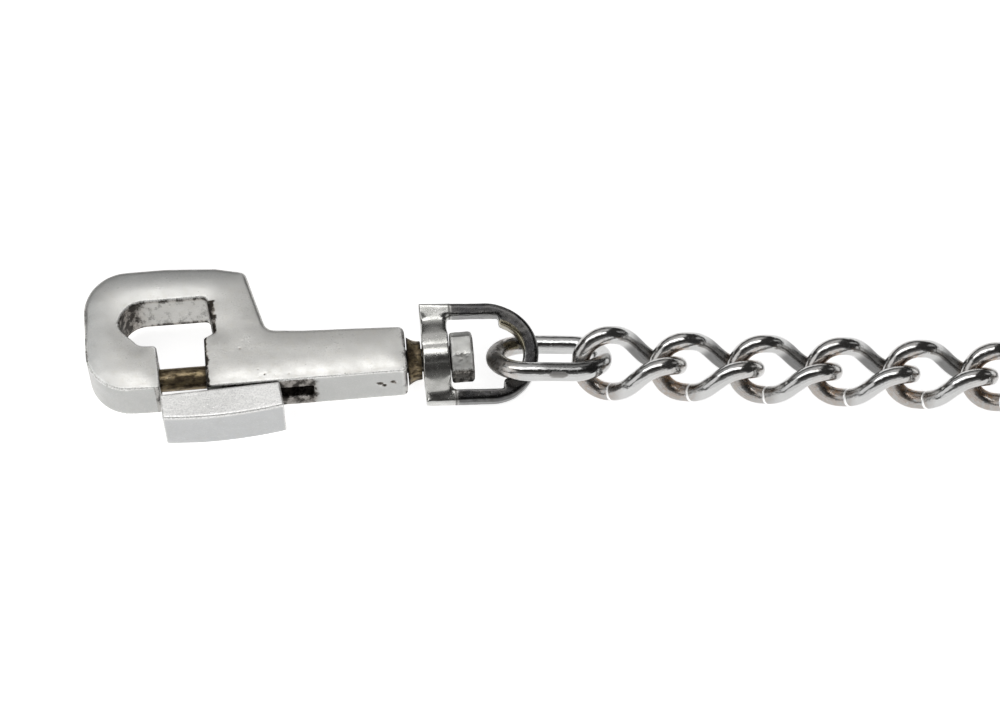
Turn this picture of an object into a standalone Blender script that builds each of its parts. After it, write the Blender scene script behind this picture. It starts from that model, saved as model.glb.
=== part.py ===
"""Slide-gate snap hook with a swivel eye, on a twisted curb chain, as used in horse tack.

The snap lies on its broad face. A bolt behind a thumb slider closes the gate, a riveted stud holds the
swivel eye, and an oval connector link joins the eye to the curb chain, which ends in a round ring.
Metres. +X runs from the snap to the chain, +Y across the snap, +Z up. The origin is on the rest face of
the shank, under the axis that the bolt, the spring and the swivel share.
"""
import math

import bmesh
import bpy
from mathutils import Matrix, Vector

MM = 0.001
GAP = 0.3 * MM

# Fineness of the shapes, and how far a cutter runs past the face that it opens
TURNED_SIDES = 20
HOLE_SIDES = 12
FINE_ARC_STEP = math.radians(15)
COARSE_ARC_STEP = math.radians(32)
LARGE_FILLET = 2.0
SHARP_ANGLE = math.radians(32)
BEVEL_ANGLE = math.radians(50)
WELD = 0.001 * MM
OVERCUT = 1.0 * MM
PIVOT_SIZE = 5.0 * MM

# Snap body, seen from above: corners as x, y and the radius of the fillet, in millimetres
SNAP_THICKNESS = 11.8 * MM
SNAP_EDGE = 0.6 * MM
AXIS_Z = SNAP_THICKNESS / 2
SHANK_END = 10.0 * MM
SNAP_CORNERS = (
    (10.0, -5.4, 1.3), (10.0, 5.9, 1.5), (-12.5, 7.1, 0), (-19.7, 7.8, 2.5),
    (-23.5, 22.9, 1.8), (-30.0, 24.5, 0), (-41.0, 25.3, 0), (-59.1, 25.2, 9.5),
    (-58.9, -4.7, 9.5), (-43.2, -4.8, 0.6), (-43.6, 5.7, 0.9),
    (-47.4, 6.0, 2.5), (-51.5, 10.7, 3.5), (-51.4, 16.9, 5.5),
    (-32.3, 16.9, 1.2), (-31.1, 8.0, 0.4), (-33.3, 6.7, 0.4), (-33.3, -5.4, 0.5),
)

# Bores, bolt and spring, all on the axis
BORE = 7.0 * MM
BORE_SHOULDER = -29.0 * MM
BOLT = 5.0 * MM
BOLT_HEAD = 6.4 * MM
BOLT_TIP = -44.9 * MM
BOLT_BACK = -18.0 * MM
BOLT_CHAMFER = 0.5 * MM
CROSS_SLOT_START = -5.0 * MM
SOCKET_END = -45.5 * MM
NOSE_BORE = BOLT + 2 * GAP
BOLT_TRAVEL = 11.8 * MM
SPRING_OUTER = 5.8 * MM
SPRING_WIRE = 0.6 * MM
SPRING_TURNS = 11

# Thumb slider: a block outside the shank, with a tongue through the slot into the bolt's head.
# Its ends are given at the back and at the front, its back at the left and at the right.
SLIDER_LEFT = (-43.3 * MM, -42.95 * MM)
SLIDER_RIGHT = (-17.6 * MM, -16.9 * MM)
SLIDER_BACK = (-6.7 * MM, -5.75 * MM)
SLIDER_DEPTH = 5.9 * MM
SLIDER_BULGE = 0.9 * MM
SLIDER_BOTTOM = 0.3 * MM
SLIDER_EDGE = 0.4 * MM
TONGUE_LEFT = -27.4 * MM
TONGUE_LENGTH = 5.0 * MM
TONGUE_HEIGHT = 3.4 * MM
TONGUE_ROOT = -8.0 * MM
TONGUE_TIP = 1.5 * MM
SLOT_DEPTH = -2.0 * MM
RIVET = 1.5 * MM
RIVET_LENGTH = 5.8 * MM

# Swivel: stud, collar and eye
STUD = 5.0 * MM
STUD_PLUG = 6.4 * MM
STUD_PLUG_LENGTH = 8.0 * MM
STUD_HEAD_FLATS = 10.5 * MM
STUD_HEAD_LENGTH = 4.95 * MM
STUD_HEAD_SIDES = 8
STUD_HEAD_EDGE = 0.4 * MM
COLLAR_LENGTH = 2.7 * MM
COLLAR_WIDE = 10.6 * MM
COLLAR_NARROW = 8.4 * MM
BAND_START = SHANK_END + COLLAR_LENGTH + 3 * GAP
BAND_LENGTH = 5.8 * MM
BAND_END = BAND_START + BAND_LENGTH
EYE_WIDTH = 22.1 * MM
EYE_THICKNESS = 4.5 * MM
EYE_EDGE = 1.2 * MM
EYE_END = 38.9 * MM
EYE_ARM = 2.9 * MM
EYE_LEAN = 0.06
EYE_LEAN_END = 33.0 * MM
EYE_NOTCH_X = 30.7 * MM
BOW_INNER_CENTRE = 29.2 * MM
BOW_INNER_RADIUS = 6.3 * MM
BOSS = 11.2 * MM
EYE_TILT = math.radians(17.5)
BOW_PIVOT = 35.3 * MM

# Connector link, measured along the middle of its wire
CONNECTOR_WIRE = 4.2 * MM
CONNECTOR_LENGTH = 23.3 * MM
CONNECTOR_WIDTH = 14.1 * MM
CONNECTOR_CENTRE = Vector((41.0, -2.12, 6.2)) * MM
CONNECTOR_HEADING = math.radians(-6)
CONNECTOR_TILT = math.radians(-35.5)

# Curb chain: link sizes along the middle of the wire, how a link is twisted, and the way the chain lies
LINK_COUNT = 19
LINK_WIRE = 4.0 * MM
LINK_LENGTH = 21.25 * MM
LINK_WIDTH = 11.15 * MM
FIRST_LINK_WIDTH = 12.3 * MM
LINK_TWIST = math.radians(54)
TWIST_RUN = 4.5 * MM
LINK_ROLL = math.radians(-6)
LINK_PITCH = 16.85 * MM
LINK_Z = 6.35 * MM
FIRST_LINK_LIFT = 0.52 * MM
FIRST_LINK_CENTRE = Vector((58.2 * MM, -5.5 * MM, LINK_Z))
CHAIN_HEADING = math.radians(-7.3)
STRAIGHT_LINKS = 5
LINKS_TO_A_HALF_SWEEP = 20

# End ring
RING_WIRE = 4.0 * MM
RING_RADIUS = 15.0 * MM
RING_REACH = 9.7 * MM
RING_ASIDE = 0.6 * MM
RING_Z = 6.65 * MM
RING_TURN = math.radians(-13.1)
RING_TILT = math.radians(18)
RING_SEGMENTS = 36
RING_SIDES = 8

POLISHED_STEEL = ((0.62, 0.62, 0.60), 0.22)
BRUSHED_STEEL = ((0.55, 0.55, 0.53), 0.35)
DARK_STEEL = ((0.20, 0.20, 0.20), 0.30)
TARNISHED_BRASS = ((0.33, 0.24, 0.12), 0.45)
SPRING_STEEL = ((0.35, 0.34, 0.33), 0.40)


def start_empty_scene():
    for old in list(bpy.data.objects):
        bpy.data.objects.remove(old, do_unlink=True)
    for name in ("snap_and_curb_chain", "cutters"):
        collection = bpy.data.collections.new(name)
        bpy.context.scene.collection.children.link(collection)
    return bpy.data.collections["snap_and_curb_chain"], bpy.data.collections["cutters"]


PARTS, CUTTERS = start_empty_scene()


def metal(name, finish):
    colour, roughness = finish
    material = bpy.data.materials.new(name)
    material.use_nodes = True
    shader = material.node_tree.nodes["Principled BSDF"]
    shader.inputs["Base Color"].default_value = (*colour, 1.0)
    shader.inputs["Roughness"].default_value = roughness
    shader.inputs["Metallic"].default_value = 1.0
    material.diffuse_color = (*colour, 1.0)
    return material


def place(item, collection):
    for old in list(item.users_collection):
        old.objects.unlink(item)
    collection.objects.link(item)
    return item


def piece(item, name, finish):
    """Makes an object one of the named parts, with its own material and smooth round faces."""
    place(item, PARTS)
    item.name = name
    item.data.name = name
    item.data.materials.clear()
    item.data.materials.append(metal(name, finish))
    if item.type == "MESH":
        item.data.shade_smooth()
        item.data.set_sharp_from_angle(angle=SHARP_ANGLE)
    return item


def cutter(item):
    place(item, CUTTERS)
    item.hide_render = True
    item.display_type = "WIRE"
    return item


def pivot(name, location):
    """Empty on a joint's axis, which carries the piece that the joint moves."""
    empty = bpy.data.objects.new("pivot_" + name, None)
    empty.empty_display_size = PIVOT_SIZE
    empty.location = location
    PARTS.objects.link(empty)
    return empty


def hang(item, parent):
    """Parents an object to a pivot and leaves it where it is."""
    item.parent = parent
    item.location = item.location - parent.location
    return item


def boolean(item, other, operation):
    modifier = item.modifiers.new(operation.title(), "BOOLEAN")
    modifier.operation = operation
    modifier.solver = "EXACT"
    modifier.object = other
    return modifier


def bevel(item, width, segments):
    modifier = item.modifiers.new("Bevel", "BEVEL")
    modifier.width = width
    modifier.segments = segments
    modifier.limit_method = "ANGLE"
    modifier.angle_limit = BEVEL_ANGLE
    return modifier


def filleted(corners):
    """Outline points in metres, where each corner (x, y, radius) in millimetres becomes an arc."""
    outline = []
    for index, (x, y, radius) in enumerate(corners):
        corner = Vector((x, y)) * MM
        arriving = corner - Vector(corners[index - 1][:2]) * MM
        leaving = Vector(corners[(index + 1) % len(corners)][:2]) * MM - corner
        arriving.normalize()
        leaving.normalize()
        turn = math.atan2(arriving.cross(leaving), arriving.dot(leaving))
        if radius == 0:
            outline.append(corner)
            continue
        reach = radius * MM * math.tan(abs(turn) / 2)
        start = corner - arriving * reach
        side = Vector((-arriving.y, arriving.x)) * math.copysign(radius * MM, turn)
        centre = start + side
        finest = FINE_ARC_STEP if radius > LARGE_FILLET else COARSE_ARC_STEP
        steps = max(1, math.ceil(abs(turn) / finest))
        for step in range(steps + 1):
            spoke = Matrix.Rotation(turn * step / steps, 2) @ -side
            outline.append(centre + spoke)
    return outline


def solid_from(item):
    """Mesh object with the evaluated shape of a curve object, with its caps welded on."""
    bpy.context.view_layer.update()
    evaluated = item.evaluated_get(bpy.context.evaluated_depsgraph_get())
    mesh = bpy.data.meshes.new_from_object(evaluated)
    work = bmesh.new()
    work.from_mesh(mesh)
    bmesh.ops.remove_doubles(work, verts=work.verts, dist=WELD)
    work.to_mesh(mesh)
    work.free()
    solid = bpy.data.objects.new(item.name + "_solid", mesh)
    solid.matrix_world = item.matrix_world
    PARTS.objects.link(solid)
    bpy.data.objects.remove(item, do_unlink=True)
    return solid


def plate(outlines, bottom, top):
    """Flat solid between two heights, from closed outlines; an outline inside another is a hole."""
    curve = bpy.data.curves.new("outline", "CURVE")
    curve.dimensions = "2D"
    curve.fill_mode = "BOTH"
    curve.extrude = (top - bottom) / 2
    for outline in outlines:
        spline = curve.splines.new("POLY")
        spline.points.add(len(outline) - 1)
        for point, place_xy in zip(spline.points, outline):
            point.co = (place_xy[0], place_xy[1], 0, 1)
        spline.use_cyclic_u = True
    item = bpy.data.objects.new("plate", curve)
    item.location.z = (top + bottom) / 2
    PARTS.objects.link(item)
    return solid_from(item)


def along_x(profile, closed=False):
    """Turned solid about the X axis at the axis height. Its profile lists (x, radius) towards -X."""
    mesh = bpy.data.meshes.new("profile")
    points = [(radius, 0, x) for x, radius in profile]
    edges = [(index, index + 1) for index in range(len(points) - 1)]
    if closed:
        edges.append((len(points) - 1, 0))
    mesh.from_pydata(points, edges, [])
    item = bpy.data.objects.new("turned", mesh)
    item.rotation_euler.y = math.pi / 2
    item.location.z = AXIS_Z
    PARTS.objects.link(item)
    screw = item.modifiers.new("Screw", "SCREW")
    screw.angle = 2 * math.pi
    screw.steps = TURNED_SIDES
    screw.render_steps = TURNED_SIDES
    screw.use_smooth_shade = True
    screw.use_merge_vertices = True
    screw.merge_threshold = WELD
    return item


def cylinder(diameter, start, end, axis="X", centre=(0, 0), sides=TURNED_SIDES):
    """Cylinder between two places on X at the axis height, or between two heights at a centre."""
    middle = (start + end) / 2
    along = axis == "X"
    bpy.ops.mesh.primitive_cylinder_add(
        vertices=sides,
        radius=diameter / 2,
        depth=end - start,
        location=(middle, 0, AXIS_Z) if along else (centre[0], centre[1], middle),
        rotation=(0, math.pi / 2, 0) if along else (0, 0, 0),
    )
    return bpy.context.object


def box(low, high):
    low, high = Vector(low), Vector(high)
    bpy.ops.mesh.primitive_cube_add(size=1, location=(low + high) / 2)
    item = bpy.context.object
    item.data.transform(Matrix.Diagonal((*(high - low), 1)))
    return item


def wire(points, diameter, closed, resolution=2):
    """Round wire along the points."""
    curve = bpy.data.curves.new("wire", "CURVE")
    curve.dimensions = "3D"
    curve.bevel_depth = diameter / 2
    curve.bevel_resolution = resolution
    curve.use_fill_caps = not closed
    spline = curve.splines.new("POLY")
    spline.points.add(len(points) - 1)
    for point, place_xyz in zip(spline.points, points):
        point.co = (*place_xyz, 1)
    spline.use_cyclic_u = closed
    spline.use_smooth = True
    item = bpy.data.objects.new("wire", curve)
    PARTS.objects.link(item)
    return item


def oval(length, width, twist):
    """Middle of an oval link's wire. The twist turns one end by +twist and the other by -twist,
    and most of it lies near the middle of the link."""
    radius = width / 2
    straight = length / 2 - radius
    arc_steps, straight_steps = 8, 5
    flat = []
    for step in range(arc_steps + 1):
        angle = math.pi * (step / arc_steps - 0.5)
        flat.append((straight + radius * math.cos(angle), radius * math.sin(angle)))
    for step in range(1, straight_steps):
        flat.append((straight - 2 * straight * step / straight_steps, radius))
    flat += [(-x, -y) for x, y in flat]
    points = []
    for x, y in flat:
        angle = -twist * math.tanh(x / TWIST_RUN)
        points.append(Vector((x, y * math.cos(angle), y * math.sin(angle))))
    return points


def lying(heading, tilt=0.0):
    """Rotation of a link that is tilted about its length and then turned to its heading."""
    return (Matrix.Rotation(heading, 3, "Z") @ Matrix.Rotation(tilt, 3, "X")).to_euler()


def hook_body():
    body = plate([filleted(SNAP_CORNERS)], 0, SNAP_THICKNESS)
    bevel(body, SNAP_EDGE, 2)
    slot_end = TONGUE_LEFT + TONGUE_LENGTH + BOLT_TRAVEL + GAP
    slot_half = TONGUE_HEIGHT / 2 + GAP
    slot = box(
        (TONGUE_LEFT - GAP, TONGUE_ROOT, AXIS_Z - slot_half),
        (slot_end, SLOT_DEPTH, AXIS_Z + slot_half),
    )
    long_bore = cylinder(BORE, BORE_SHOULDER, SHANK_END + OVERCUT)
    nose_bore = cylinder(NOSE_BORE, SOCKET_END, BORE_SHOULDER + OVERCUT)
    for item in (long_bore, nose_bore, slot):
        boolean(body, cutter(item), "DIFFERENCE")
    return piece(body, "hook_body", BRUSHED_STEEL)


def slide_bolt(carrier):
    head_front = BORE_SHOULDER + GAP
    bolt = along_x((
        (BOLT_BACK, 0), (BOLT_BACK, BOLT_HEAD / 2), (head_front, BOLT_HEAD / 2), (head_front, BOLT / 2),
        (BOLT_TIP + BOLT_CHAMFER, BOLT / 2), (BOLT_TIP, BOLT / 2 - BOLT_CHAMFER), (BOLT_TIP, 0),
    ))
    half = TONGUE_HEIGHT / 2 + GAP
    cross_slot = box(
        (TONGUE_LEFT - GAP, CROSS_SLOT_START, AXIS_Z - half),
        (TONGUE_LEFT + TONGUE_LENGTH + GAP, TONGUE_TIP + GAP, AXIS_Z + half),
    )
    boolean(bolt, cutter(cross_slot), "DIFFERENCE")
    boolean(bolt, cutter(rivet_hole()), "DIFFERENCE")
    return hang(piece(bolt, "slide_bolt", TARNISHED_BRASS), carrier)


def rivet_place():
    return TONGUE_LEFT + TONGUE_LENGTH / 2, 0


def rivet_hole():
    return cylinder(RIVET + 2 * GAP, 0, SNAP_THICKNESS, "Z", rivet_place(), HOLE_SIDES)


def slider_rivet(carrier):
    low = AXIS_Z - RIVET_LENGTH / 2
    rivet = cylinder(RIVET, low, low + RIVET_LENGTH, "Z", rivet_place(), HOLE_SIDES)
    return hang(piece(rivet, "slider_rivet", SPRING_STEEL), carrier)


def thumb_slider(carrier):
    left_back, right_back = SLIDER_BACK
    left, left_front = SLIDER_LEFT
    right, right_front = SLIDER_RIGHT
    outline = [(right, right_back), (left, left_back)]
    steps = 8
    for step in range(steps + 1):
        share = step / steps
        x = left_front + (right_front - left_front) * share
        back = left_back + (right_back - left_back) * share
        outline.append((x, back - SLIDER_DEPTH - SLIDER_BULGE * (1 - (2 * share - 1) ** 2)))
    block = plate([outline], SLIDER_BOTTOM, SNAP_THICKNESS)
    bevel(block, SLIDER_EDGE, 2)
    half = TONGUE_HEIGHT / 2
    tongue = box(
        (TONGUE_LEFT, TONGUE_ROOT, AXIS_Z - half),
        (TONGUE_LEFT + TONGUE_LENGTH, TONGUE_TIP, AXIS_Z + half),
    )
    boolean(block, cutter(tongue), "UNION")
    boolean(block, cutter(rivet_hole()), "DIFFERENCE")
    return hang(piece(block, "thumb_slider", BRUSHED_STEEL), carrier)


def bolt_spring():
    """Compression spring between the back of the bolt and the stud's plug."""
    start = BOLT_BACK + GAP + SPRING_WIRE / 2
    end = SHANK_END - STUD_PLUG_LENGTH - GAP - SPRING_WIRE / 2
    radius = (SPRING_OUTER - SPRING_WIRE) / 2
    points_per_turn = 9
    count = SPRING_TURNS * points_per_turn
    points = []
    for index in range(count + 1):
        angle = 2 * math.pi * index / points_per_turn
        x = start + (end - start) * index / count
        points.append((x, radius * math.cos(angle), AXIS_Z + radius * math.sin(angle)))
    return piece(wire(points, SPRING_WIRE, closed=False), "bolt_spring", SPRING_STEEL)


def swivel_stud():
    """Stud whose plug is fixed in the end of the bore and whose eight-sided head holds the eye."""
    head_start = BAND_END + GAP
    stud = along_x((
        (head_start + OVERCUT, 0), (head_start + OVERCUT, STUD / 2), (SHANK_END - GAP, STUD / 2),
        (SHANK_END - GAP, STUD_PLUG / 2), (SHANK_END - STUD_PLUG_LENGTH, STUD_PLUG / 2),
        (SHANK_END - STUD_PLUG_LENGTH, 0),
    ))
    half_side = math.pi / STUD_HEAD_SIDES
    across_corners = STUD_HEAD_FLATS / math.cos(half_side)
    head = cylinder(across_corners, head_start, head_start + STUD_HEAD_LENGTH, sides=STUD_HEAD_SIDES)
    head.data.transform(Matrix.Rotation(half_side, 4, "Z"))
    bevel(head, STUD_HEAD_EDGE, 1)
    boolean(stud, cutter(head), "UNION")
    return piece(stud, "swivel_stud", BRUSHED_STEEL)


def swivel_collar():
    """Flared bush between the end of the shank and the eye, narrow at the eye."""
    narrow_end = BAND_START - GAP
    steps = 4
    profile = []
    for step in range(steps + 1):
        share = step / steps
        radius = (COLLAR_NARROW + (COLLAR_WIDE - COLLAR_NARROW) * share ** 2) / 2
        profile.append((narrow_end + (SHANK_END + GAP - narrow_end) * share, radius))
    bore = STUD / 2 + GAP
    profile += [(SHANK_END + GAP, bore), (narrow_end, bore)]
    return piece(along_x(profile, closed=True), "swivel_collar", TARNISHED_BRASS)


def leaning(outline):
    """The outline with its points stepped aside, more and more from the bow to the band."""
    return [(x, y + EYE_LEAN * max(0.0, EYE_LEAN_END - x)) for x, y in outline]


def swivel_eye(carrier):
    """D-shaped eye: a band with a boss round the stud, two arms that lean to one side, and a bow that
    is thicker inside."""
    half = EYE_WIDTH / 2
    outer_centre = EYE_END - half
    outer = [(BAND_START, half), (BAND_START, -half)]
    steps = 14
    for step in range(steps + 1):
        angle = math.pi * (step / steps - 0.5)
        outer.append((outer_centre + half * math.cos(angle), half * math.sin(angle)))
    arm = half - EYE_ARM
    notch_angle = math.acos((EYE_NOTCH_X - BOW_INNER_CENTRE) / BOW_INNER_RADIUS)
    inner = [(BAND_END, arm), (BAND_END, -arm), (EYE_NOTCH_X, -arm)]
    steps = 8
    for step in range(steps + 1):
        angle = notch_angle * (2 * step / steps - 1)
        x = BOW_INNER_CENTRE + BOW_INNER_RADIUS * math.cos(angle)
        inner.append((x, BOW_INNER_RADIUS * math.sin(angle)))
    inner.append((EYE_NOTCH_X, arm))
    eye = plate([leaning(outer), leaning(inner)], -EYE_THICKNESS / 2, EYE_THICKNESS / 2)
    bevel(eye, EYE_EDGE, 2)
    eye.location = (0, 0, AXIS_Z)
    eye.rotation_euler.x = EYE_TILT
    boolean(eye, cutter(cylinder(BOSS, BAND_START, BAND_END)), "UNION")
    stud_hole = cylinder(STUD + 2 * GAP, BAND_START - OVERCUT, BAND_END + OVERCUT)
    boolean(eye, cutter(stud_hole), "DIFFERENCE")
    return hang(piece(eye, "swivel_eye", DARK_STEEL), carrier)


def connector_link():
    link = wire(oval(CONNECTOR_LENGTH, CONNECTOR_WIDTH, 0), CONNECTOR_WIRE, closed=True)
    link.location = CONNECTOR_CENTRE
    link.rotation_euler = lying(CONNECTOR_HEADING, CONNECTOR_TILT)
    carrier = pivot("connector_link", (BOW_PIVOT, 0, AXIS_Z))
    return hang(piece(link, "connector_link", POLISHED_STEEL), carrier)


def chain_places():
    """Centre and heading of every curb link: straight by the snap, then one slow sweep back."""
    places = []
    centre = FIRST_LINK_CENTRE.copy()
    direction = None
    for index in range(LINK_COUNT):
        swept = max(0, index + 1 - STRAIGHT_LINKS) / LINKS_TO_A_HALF_SWEEP
        heading = CHAIN_HEADING * math.cos(math.pi * swept)
        previous = direction
        direction = Vector((math.cos(heading), math.sin(heading), 0))
        if previous is not None:
            centre = centre + (previous + direction) * LINK_PITCH / 2
        places.append((centre, heading, direction))
    places[0][0].z += FIRST_LINK_LIFT
    return places


def curb_link(index, place_of_link, place_before):
    """One twisted link. Every second link turns about its own wire, the others about the link before."""
    centre, heading, direction = place_of_link
    width = FIRST_LINK_WIDTH if index == 0 else LINK_WIDTH
    link = wire(oval(LINK_LENGTH, width, LINK_TWIST), LINK_WIRE, closed=True)
    link.location = centre
    link.rotation_euler = lying(heading, LINK_ROLL)
    if index == 0:
        along = Vector((math.cos(CONNECTOR_HEADING), math.sin(CONNECTOR_HEADING), 0))
        axis_point = CONNECTOR_CENTRE + along * CONNECTOR_LENGTH / 2
    elif index % 2 == 0:
        axis_point = place_before[0] + place_before[2] * LINK_LENGTH / 2
    else:
        axis_point = centre - direction * LINK_LENGTH / 2
    name = f"curb_link_{index + 1:02d}"
    return hang(piece(link, name, POLISHED_STEEL), pivot(name, axis_point))


def end_ring(last_place):
    centre, heading, direction = last_place
    end_of_link = centre + direction * LINK_LENGTH / 2
    across = Vector((-direction.y, direction.x, 0))
    ring_centre = end_of_link + direction * RING_REACH + across * RING_ASIDE
    ring_centre.z = RING_Z
    bpy.ops.mesh.primitive_torus_add(
        major_radius=RING_RADIUS, minor_radius=RING_WIRE / 2,
        major_segments=RING_SEGMENTS, minor_segments=RING_SIDES,
        location=ring_centre, rotation=lying(heading + RING_TURN, RING_TILT),
    )
    to_link = Matrix.Rotation(heading + RING_TURN, 3, "Z") @ Vector((-RING_RADIUS, 0, 0))
    carrier = pivot("end_ring", ring_centre + to_link)
    return hang(piece(bpy.context.object, "end_ring", POLISHED_STEEL), carrier)


def build():
    hook_body()
    swivel_stud()
    swivel_collar()
    bolt_spring()
    bolt_carrier = pivot("slide_bolt", (0, 0, AXIS_Z))
    slide_bolt(bolt_carrier)
    slider_rivet(bolt_carrier)
    thumb_slider(bolt_carrier)
    swivel_eye(pivot("swivel_eye", (BAND_START, 0, AXIS_Z)))
    connector_link()
    places = chain_places()
    for index, place_of_link in enumerate(places):
        curb_link(index, place_of_link, places[index - 1])
    end_ring(places[-1])


build()
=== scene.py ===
"""Looks for the slide-gate snap on its twisted curb chain: fine meshes, metals, floor, light and camera."""

import math
import random

import bmesh
import bpy
import numpy as np
from mathutils import Matrix, Vector, noise


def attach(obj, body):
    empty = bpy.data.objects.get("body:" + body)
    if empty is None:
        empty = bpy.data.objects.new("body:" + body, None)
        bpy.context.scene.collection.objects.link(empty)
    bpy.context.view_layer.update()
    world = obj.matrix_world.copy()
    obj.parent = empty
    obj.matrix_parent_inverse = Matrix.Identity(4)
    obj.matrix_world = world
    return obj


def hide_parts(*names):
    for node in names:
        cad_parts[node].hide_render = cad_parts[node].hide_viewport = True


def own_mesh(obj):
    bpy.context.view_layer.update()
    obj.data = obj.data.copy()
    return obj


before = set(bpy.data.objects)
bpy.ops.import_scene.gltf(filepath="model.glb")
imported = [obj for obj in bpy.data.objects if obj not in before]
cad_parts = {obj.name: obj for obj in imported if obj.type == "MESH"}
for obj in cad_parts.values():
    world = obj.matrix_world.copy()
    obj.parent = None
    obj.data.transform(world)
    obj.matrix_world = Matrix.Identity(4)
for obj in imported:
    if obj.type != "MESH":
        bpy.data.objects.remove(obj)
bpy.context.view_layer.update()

MM = 0.001
GAP = 0.3 * MM

SNAP_THICKNESS = 11.8 * MM
AXIS_Z = SNAP_THICKNESS / 2
SHANK_END = 10.0 * MM
# How far the broad faces fall towards the outline, and over what distance
CROWN = 0.5 * MM
CROWN_REACH = 5.5 * MM
# Snap body, corner by corner in millimetres: x, y, fillet radius, radius of the top and bottom edges
SNAP_CORNERS = (
    (10.0, -5.4, 1.3, 0.2), (10.0, 5.9, 1.5, 0.8), (-12.5, 7.1, 0, 1.0), (-19.7, 7.8, 2.5, 1.1),
    (-23.5, 22.9, 1.8, 1.2), (-30.0, 24.5, 0, 1.2), (-41.0, 25.3, 0, 1.2), (-59.1, 25.2, 9.5, 1.2),
    (-58.9, -4.7, 9.5, 0.35), (-43.2, -4.8, 0.6, 0.2), (-43.6, 5.7, 0.9, 0.25),
    (-47.4, 6.0, 2.5, 0.3), (-51.5, 10.7, 3.5, 0.5), (-51.4, 16.9, 5.5, 0.5),
    (-32.3, 16.9, 1.2, 0.5), (-31.1, 8.0, 0.4, 0.7), (-33.3, 6.7, 0.4, 0.5), (-33.3, -5.4, 0.5, 0.4),
)
BORE = 7.0 * MM
BORE_SHOULDER = -29.0 * MM
BOLT = 5.0 * MM
BOLT_HEAD = 6.4 * MM
BOLT_TIP = -44.9 * MM
BOLT_BACK = -18.0 * MM
SOCKET_END = -45.5 * MM
NOSE_BORE = BOLT + 2 * GAP
BOLT_TRAVEL = 11.8 * MM
SPRING_OUTER = 5.8 * MM
SPRING_WIRE = 0.6 * MM
SPRING_TURNS = 11

SLIDER_LEFT = (-43.3 * MM, -42.95 * MM)
SLIDER_RIGHT = (-17.6 * MM, -16.9 * MM)
SLIDER_BACK = (-6.7 * MM, -5.75 * MM)
SLIDER_DEPTH = 5.9 * MM
SLIDER_BULGE = 0.9 * MM
SLIDER_BOTTOM = 0.3 * MM
TONGUE_LEFT = -27.4 * MM
TONGUE_LENGTH = 5.0 * MM
TONGUE_HEIGHT = 3.4 * MM
TONGUE_TIP = 1.5 * MM
RIVET = 1.5 * MM
RIVET_LENGTH = 5.8 * MM

STUD = 5.0 * MM
STUD_PLUG = 6.4 * MM
STUD_PLUG_LENGTH = 8.0 * MM
STUD_HEAD_FLATS = 10.5 * MM
STUD_HEAD_LENGTH = 4.95 * MM
STUD_HEAD_SIDES = 8
COLLAR_LENGTH = 2.7 * MM
COLLAR_WIDE = 10.6 * MM
COLLAR_NARROW = 8.4 * MM
BAND_START = SHANK_END + COLLAR_LENGTH + 3 * GAP
BAND_END = BAND_START + 5.8 * MM
EYE_WIDTH = 22.1 * MM
EYE_THICKNESS = 4.5 * MM
EYE_END = 38.9 * MM
EYE_ARM = 2.9 * MM
EYE_LEAN = 0.06
EYE_LEAN_END = 33.0 * MM
EYE_NOTCH_X = 30.7 * MM
BOW_INNER_CENTRE = 29.2 * MM
BOW_INNER_RADIUS = 6.3 * MM
BOSS = 11.2 * MM
EYE_TILT = math.radians(17.5)
FLARE = 1.6

CONNECTOR_WIRE = 4.2 * MM
CONNECTOR_LENGTH = 23.3 * MM
CONNECTOR_WIDTH = 14.1 * MM
CONNECTOR_CENTRE = Vector((41.0, -2.12, 6.2)) * MM
CONNECTOR_HEADING = math.radians(-6)
CONNECTOR_TILT = math.radians(-35.5)

LINK_COUNT = 19
LINK_WIRE = 4.0 * MM
LINK_LENGTH = 21.25 * MM
LINK_WIDTH = 11.15 * MM
FIRST_LINK_WIDTH = 12.3 * MM
LINK_TWIST = math.radians(54)
TWIST_RUN = 4.5 * MM
LINK_ROLL = math.radians(-6)
LINK_PITCH = 16.85 * MM
LINK_Z = 6.35 * MM
FIRST_LINK_LIFT = 0.52 * MM
FIRST_LINK_CENTRE = Vector((58.2 * MM, -5.5 * MM, LINK_Z))
CHAIN_HEADING = math.radians(-7.3)
STRAIGHT_LINKS = 5
LINKS_TO_A_HALF_SWEEP = 20

RING_WIRE = 4.0 * MM
RING_RADIUS = 15.0 * MM
RING_REACH = 9.7 * MM
RING_ASIDE = 0.6 * MM
RING_Z = 6.65 * MM
RING_TURN = math.radians(-13.1)
RING_TILT = math.radians(18)

CAST_VOXEL = 0.25 * MM
SLIDER_VOXEL = 0.2 * MM
FINE_VOXEL = 0.18 * MM
ROUND_SIDES = 96
WIRE_SIDES = 28
LINK_SECTIONS = 112
CONNECTOR_SECTIONS = 160
CONNECTOR_SIDES = 36

# Casting pits in the hook, in millimetres: x, y, z, radius and depth
PITS = (
    (-25.6, 3.1, 11.8, 0.3, 0.06), (4.1, -5.4, 6.5, 0.6, 0.3), (4.9, -5.4, 5.6, 0.5, 0.3),
    (3.4, -5.4, 6.8, 0.3, 0.2), (6.8, -5.4, 6.9, 0.55, 0.3), (7.3, -5.4, 6.3, 0.28, 0.2),
    (-52.6, -4.7, 6.6, 0.32, 0.2), (-15.4, -3.9, 11.7, 0.25, 0.08), (-20.6, -3.6, 11.7, 0.28, 0.08),
    (-22.0, -2.4, 11.8, 0.22, 0.06), (-31.4, 14.9, 11.8, 0.22, 0.08), (-3.4, -4.9, 11.6, 0.22, 0.08),
)
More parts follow.
